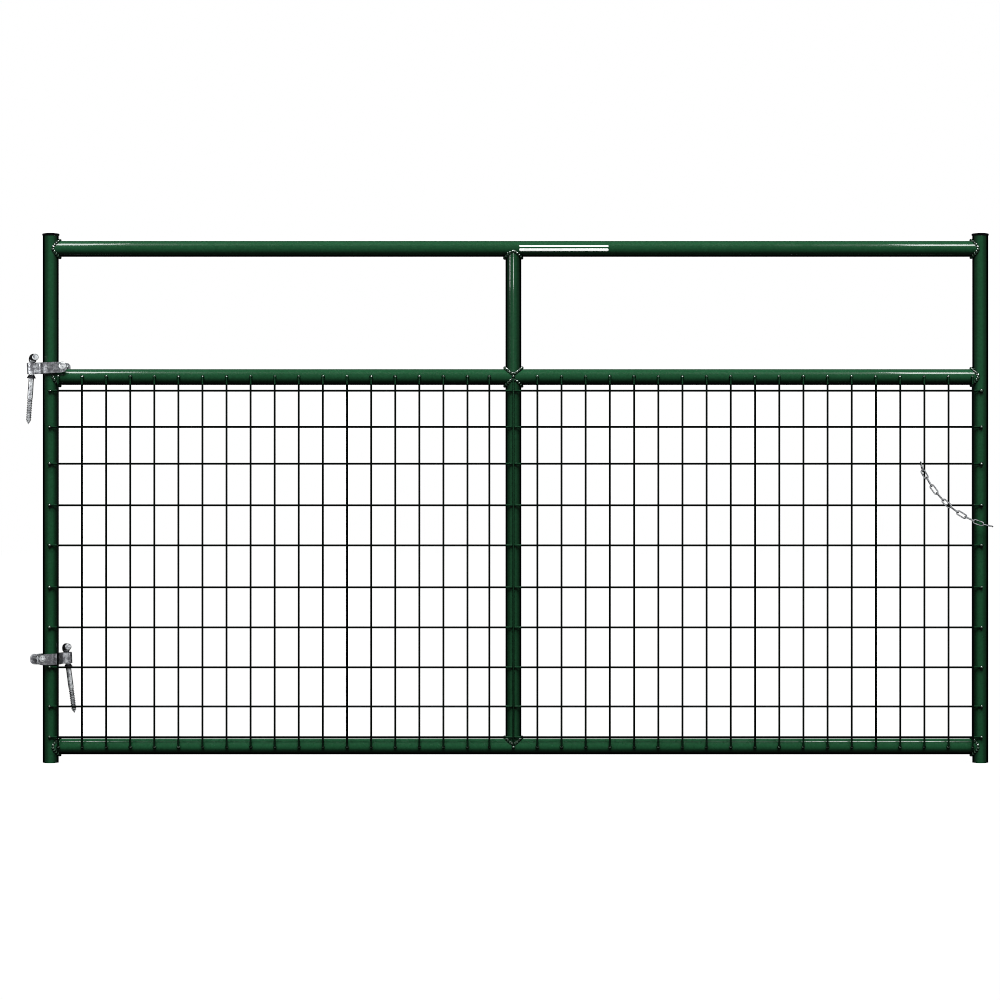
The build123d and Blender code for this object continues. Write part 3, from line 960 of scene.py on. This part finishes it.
def hinge_nut(name, place, material):
    """Hexagon nut with a chamfered outer face and a plain bore."""
    node = name + "_hinge_nut"
    low, high = extents(node_points(node), place)
    middle = (low + high) / 2
    width = high - low
    flats = min(width[0], width[2]) / 2
    thickness = width[1]
    corner_turn = 0.0 if width[0] > width[2] else 0.5
    angles = circle(96)
    sector = math.pi / 3
    from_flat = (angles - corner_turn * sector) % sector - sector / 2
    outline = flats / np.cos(from_flat)
    chamfer = flats * 0.97
    bore = BOLT_RADIUS + 0.05 * MM

    slope = math.tan(math.radians(28))
    drop = (outline - chamfer) * slope
    section = [
        (bore + 0.5 * MM, thickness),
        (chamfer, thickness),
        (outline - 0.12 * MM, thickness - drop + 0.06 * MM),
        (outline, thickness - drop - 0.1 * MM),
        (outline, 0.25 * MM),
        (outline - 0.25 * MM, 0.0),
        (bore + 0.5 * MM, 0.0),
        (bore, 0.5 * MM),
        (bore, thickness - 0.5 * MM),
    ]
    rings = [level_ring(radius, height, angles) for radius, height in section]
    local = place @ place_matrix((middle[0], low[1], middle[2]), (1, 0, 0), (0, 1, 0))
    Shape().skin(rings, closed=True, place=local).piece(node + "_hexagon", node, material, 25.0)


# Screw hooks and their collars


def hook_frame(name):
    """A hook's own place: origin at the knuckle, +X along the pin, +Z up the shank's axis."""
    joint = joints[name + "_hook_turn"]
    axis = unit(np.array(joint["axis"]))
    pivot = np.array(joint["pos_m"])
    points = node_points(name + "_screw_hook") - pivot
    heights = points @ axis
    knuckle = pivot + axis * (heights.max() - KNUCKLE_RADIUS)
    outward = points - np.outer(heights, axis)
    farthest = outward[np.argmax(np.linalg.norm(outward, axis=1))]
    ends = outward[np.linalg.norm(outward, axis=1) > np.linalg.norm(farthest) - 3 * MM]
    return place_matrix(knuckle, ends.mean(0), axis)


def elbow_rings(pin_length, bottom):
    """Rings from the pin's end round the knuckle and down the neck."""
    bend = KNUCKLE_RADIUS + 0.2 * MM
    angles = circle(48)
    rings = []

    def ring(centre, outward, radius):
        """A ring in the plane of Y and `outward`, a direction in the XZ plane."""
        return centre + radius * (np.outer(np.cos(angles), outward) - np.outer(np.sin(angles), FRONT))

    end = RIGHT * pin_length
    for back, radius in ((0.0, 0.0), (0.0, PIN_RADIUS - 1.7 * MM), (0.35 * MM, PIN_RADIUS - 1.2 * MM)):
        rings.append(ring(end - RIGHT * back, UP, radius))
    for back, radius in ((1.6 * MM, PIN_RADIUS - 0.1 * MM), (2.2 * MM, PIN_RADIUS)):
        rings.append(ring(end - RIGHT * back, UP, radius))
    for x in np.linspace(pin_length - 4 * MM, bend + 4 * MM, 8):
        rings.append(ring(RIGHT * x, UP, PIN_RADIUS))
    centre = np.array([bend, 0.0, -bend])
    for share in np.linspace(0, 1, 19):
        angle = share * math.pi / 2
        outward = np.array([-math.sin(angle), 0.0, math.cos(angle)])
        swell = (KNUCKLE_RADIUS - PIN_RADIUS) * math.sin(share * math.pi) ** 0.8
        radius = PIN_RADIUS + 0.35 * MM * share + swell * 0.75
        rings.append(ring(centre + outward * (bend + swell * 0.55), outward, radius))
    neck = [(-bend - 0.8 * MM, PIN_RADIUS - 0.3 * MM), (-12.0 * MM, 6.7 * MM), (-13.5 * MM, GUIDE_RADIUS)]
    neck += [(bottom * share, GUIDE_RADIUS) for share in (0.5, 0.75, 1.0)]
    for z, radius in neck:
        rings.append(ring(UP * z, -RIGHT, radius))
    return rings


def screw_hook(name, place, material):
    """Bent pin, plain shank, coarse wood-screw thread and a gimlet tip, in one skin."""
    node = name + "_screw_hook"
    low, high = extents(node_points(node), place)
    pin_length, tip = high[0], low[2]
    guide_end = tip * 0.315
    thread_start = tip * 0.6
    thread_end = tip + 11 * MM
    rings = elbow_rings(pin_length, guide_end)
    angles = circle(48)

    def ring(z, radius):
        """A level ring that starts away from the pin, as the neck's do."""
        return level_ring(radius, z, angles) * (-1, 1, 1)

    rings.append(ring(guide_end - 0.4 * MM, SHANK_RADIUS))
    rings.append(ring(thread_start + 0.5 * MM, SHANK_RADIUS))
    turns = angles / (2 * math.pi)
    for z in np.arange(thread_start, tip + 1.0 * MM, -LAG_PITCH / 9):
        taper = smooth_step(z, tip + 0.4 * MM, thread_end)
        run_in = 1 - smooth_step(z, thread_start - 7 * MM, thread_start)
        root = SHANK_RADIUS + (LAG_ROOT - SHANK_RADIUS) * run_in
        radii = np.array([screw_radius(z, turn, LAG_PITCH, root, LAG_CREST) for turn in turns])
        rings.append(ring(z, radii * (0.18 + 0.82 * taper)))
    rings.append(ring(tip, 0.0))
    Shape().skin(rings, place=place).piece(node + "_forged", node, material, 60.0)


def hook_collar(name, place, material):
    """The flared collar under the eye."""
    node = name + "_hook_collar"
    low, high = extents(node_points(node), place)
    bore, flare, neck = GUIDE_RADIUS + 0.05 * MM, high[0], 7.6 * MM
    outline = [(bore, high[2]), (neck, high[2]), (neck + 0.4 * MM, high[2] - 2 * MM)]
    outline += [(flare, low[2] + 1.6 * MM), (flare, low[2]), (bore, low[2])]
    rings = lathe(rounded(outline, 0.5 * MM), 64)
    Shape().skin(rings, closed=True, place=place).piece(node + "_pressed", node, material)


def hinges(looks):
    for name in ("upper", "lower"):
        strap = strap_frame(name)
        hinge_strap(name, strap, looks["strap"])
        hinge_bolt(name, strap, looks["fastener"])
        hinge_nut(name, strap, looks["fastener"])
        hook = hook_frame(name)
        screw_hook(name, hook, looks["hook"])
        hook_collar(name, hook, looks["collar"])


# Latch chain


def principal_place(node):
    """A flat oval node's own place: origin at its middle, +X along it, +Z across its plane."""
    points = node_points(node)
    _, vectors = np.linalg.eigh(np.cov((points - points.mean(0)).T))
    place = place_matrix(points.mean(0), vectors[:, 2], vectors[:, 0])
    low, high = extents(points, place)
    place[:3, 3] = moved((low + high) / 2, place)
    return place, (high - low) / 2


def chain_link(node, material):
    """An oval link of round wire, with the swelling of its butt weld on one side."""
    place, half = principal_place(node)
    wire = half[2]
    bend = half[1] - wire
    straight = half[0] - half[1]
    path = []
    for share in np.linspace(-1, 1, 25)[:-1]:
        path.append((share * straight, bend, 0.0, 1.0))
    for angle in np.radians(np.linspace(90, -90, 19)[:-1]):
        x, y = math.cos(angle), math.sin(angle)
        path.append((straight + bend * x, bend * y, x, y))
    path += [(-x, -y, -nx, -ny) for x, y, nx, ny in path]
    section = circle(20)
    rings = []
    for x, y, normal_x, normal_y in path:
        swelling = LINK_SWELLING * math.exp(-((x / LINK_SWELLING_REACH) ** 2)) if y > 0 else 0.0
        radius = wire * (1 + swelling)
        out = radius * np.cos(section)
        rings.append(np.stack([x + normal_x * out, y + normal_y * out, radius * np.sin(section)], 1))
    Shape().skin(rings, closed=True, place=place).piece(node + "_welded", node, material)


def latch_chain(material):
    for node in sorted(name for name in frame["nodes"] if name.startswith("chain_link_")):
        chain_link(node, material)


# Stage, lights and camera


def collect(name, prefixes):
    """A collection of the pieces whose names start with any of the prefixes, for linking lights."""
    group = bpy.data.collections.new(name)
    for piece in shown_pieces():
        if piece.name.startswith(prefixes):
            group.objects.link(piece)
    return group


def new_light(name, kind, direction, only):
    """A light that shines along a direction, on one group of pieces if one is given."""
    made = bpy.data.objects.new(name, bpy.data.lights.new(name, kind))
    scene.collection.objects.link(made)
    made.rotation_euler = Vector(direction).to_track_quat("-Z", "Y").to_euler()
    if only is not None:
        made.light_linking.receiver_collection = only
    return made


def area_light(name, place, target, width, height, radiance, only):
    """A soft rectangular light, seen only as a reflection in one group of pieces."""
    made = new_light(name, "AREA", Vector(target) - Vector(place), only)
    made.location = place
    made.data.shape = "RECTANGLE"
    made.data.size, made.data.size_y = width, height
    made.data.energy = radiance * math.pi * width * height
    made.visible_camera = False
    made.visible_diffuse = False


def sun(name, direction, strength, only=None):
    """A distant soft light that colours surfaces evenly and makes no glints."""
    made = new_light(name, "SUN", direction, only)
    made.data.energy = strength
    made.data.angle = SUN_ANGLE
    made.visible_glossy = False


def camera_only(tree, output, seen, otherwise):
    """Show the camera one shader, and everything else another."""
    mix = tree.nodes.new("ShaderNodeMixShader")
    path = tree.nodes.new("ShaderNodeLightPath")
    tree.links.new(path.outputs["Is Camera Ray"], mix.inputs[0])
    tree.links.new(otherwise, mix.inputs[1])
    tree.links.new(seen, mix.inputs[2])
    tree.links.new(mix.outputs[0], tree.nodes.new(output).inputs[0])


def shader(tree, kind, level):
    """A gray shader node of a tree."""
    made = tree.nodes.new(kind)
    made.inputs["Color"].default_value = (level, level, level, 1.0)
    return made.outputs[0]


def world():
    """White behind the gate, dim for everything else, so that outlines stay dark."""
    made = bpy.data.worlds.new("studio")
    scene.world = made
    made.use_nodes = True
    tree = made.node_tree
    tree.nodes.clear()
    dim = shader(tree, "ShaderNodeBackground", 0.05)
    white = shader(tree, "ShaderNodeBackground", 1.0)
    camera_only(tree, "ShaderNodeOutputWorld", white, dim)


def floor(middle):
    """A plain white floor that takes a faint shadow and throws little light back."""
    bpy.ops.mesh.primitive_plane_add(size=60.0, location=(middle[0], middle[1], -0.5 * MM))
    made = bpy.context.object
    made.name = "floor"
    material = bpy.data.materials.new("floor")
    material.use_nodes = True
    tree = material.node_tree
    tree.nodes.clear()
    dull = shader(tree, "ShaderNodeBsdfDiffuse", 0.03)
    glow = shader(tree, "ShaderNodeEmission", 0.985)
    both = tree.nodes.new("ShaderNodeAddShader")
    tree.links.new(dull, both.inputs[0])
    tree.links.new(glow, both.inputs[1])
    camera_only(tree, "ShaderNodeOutputMaterial", both.outputs[0], dull)
    made.data.materials.append(material)
    made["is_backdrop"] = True


def paint_lights(x, z, half):
    """Suns for the paint's colour, and the lights whose reflections are its highlights."""
    paint = collect("painted", ("hinge_upright_tube", "latch_upright_tube", "top_rail_tube",
                                "middle_rail_tube", "centre_stile"))
    low = collect("low", ("bottom_rail_tube",))
    stile = collect("stile", ("centre_stile_upper_tube",))
    film = collect("film", ("top_rail_stripes",))
    sun("key", (0.0, 0.515, -0.857), 2.75)
    sun("back_fill", (0.0, -0.92, -0.38), 2.0)
    sun("film_key", (0.0, 0.9, -0.43), 3.0, film)
    for name, side, forward, up in (("left_glint", -1, 0.95, 2.42), ("right_glint", 1, 1.35, 2.2)):
        place = (x + side * (half + 0.19), -forward, z + up)
        area_light(name, place, (x + side * half, 0, z + 0.3), 0.29, 0.9, 11.5, paint)
    for name, side, beyond, width, radiance in (
        ("low_left_glint", -1, 0.27, 0.12, 11.0),
        ("low_right_glint", 1, 0.10, 0.46, 13.0),
    ):
        place = (x + side * (half + beyond), -0.85, z + 2.45)
        area_light(name, place, (x + side * half, 0, z), width, 0.62, radiance, low)
    stile_x = middle_of("centre_stile_upper", 0)
    for name, across, forward, radiance in (
        ("stile_glint", 0.0, 3.0, 12.0),
        ("stile_side_glint", -2.3, 1.93, 11.0),
    ):
        place = (stile_x + across, -forward, z + 0.75)
        area_light(name, place, (stile_x, 0, z + 0.54), 0.5, 0.10, radiance, stile)


def metal_lights(x, z):
    """The soft panels that the zinc and the chain reflect, and the sparkle on the welds."""
    metal = collect("metal", ("upper_", "lower_", "chain_"))
    welds = collect("welds", ("hinge_side_beads", "latch_side_beads", "centre_stile_beads",
                              "horizontal_wire_tacks", "vertical_wire_tacks"))
    for name, side in (("left_side", -1), ("right_side", 1)):
        area_light(name, (x + side * 3.4, -1.6, z + 0.2), (x + side, 0, z), 1.6, 2.4, 7.0, metal)
    area_light("metal_top", (x, -1.5, z + 3.0), (x, 0, z), 5.0, 1.2, 5.0, metal)
    area_light("metal_front", (x + 1.0, -6.0, z + 0.5), (x + 0.5, 0, z), 7.0, 1.6, 2.5, metal)
    area_light("metal_floor", (x, -3.2, 0.02), (x, -3.2, 5.0), 7.0, 6.0, 1.3, metal)
    area_light("weld_sparkle", (x, -1.6, z + 3.2), (x, 0, z), 2.6, 0.4, 120.0, welds)


def camera():
    data = bpy.data.cameras.new("camera")
    data.sensor_width = SENSOR_WIDTH
    data.lens = SENSOR_WIDTH * CAMERA_DISTANCE / VIEW_WIDTH
    made = bpy.data.objects.new("camera", data)
    scene.collection.objects.link(made)
    made.location = (CAMERA_X, -CAMERA_DISTANCE, CAMERA_Z)
    made.rotation_euler = (math.pi / 2, 0.0, 0.0)
    scene.camera = made


def build():
    looks = materials()
    radius, hinge_x, latch_x, stile_x, rail_z = frame_tubes(looks["upright"], looks["rail"])
    caps(looks["cap"])
    decal(looks["film"], rail_z["top_rail"])
    weld_beads(looks["weld"], radius, hinge_x, latch_x, stile_x, rail_z)
    wire_panel(looks["wire"], looks["weld"])
    hinges(looks)
    latch_chain(looks["chain"])


build()
centre = np.array((cad_low + cad_high) / 2)
world()
floor(centre)
paint_lights(centre[0], centre[2], (cad_high[0] - cad_low[0]) / 2)
metal_lights(centre[0], centre[2])
camera()
scene.view_settings.view_transform = "Standard"
scene.cycles.pixel_filter_type = "BOX"
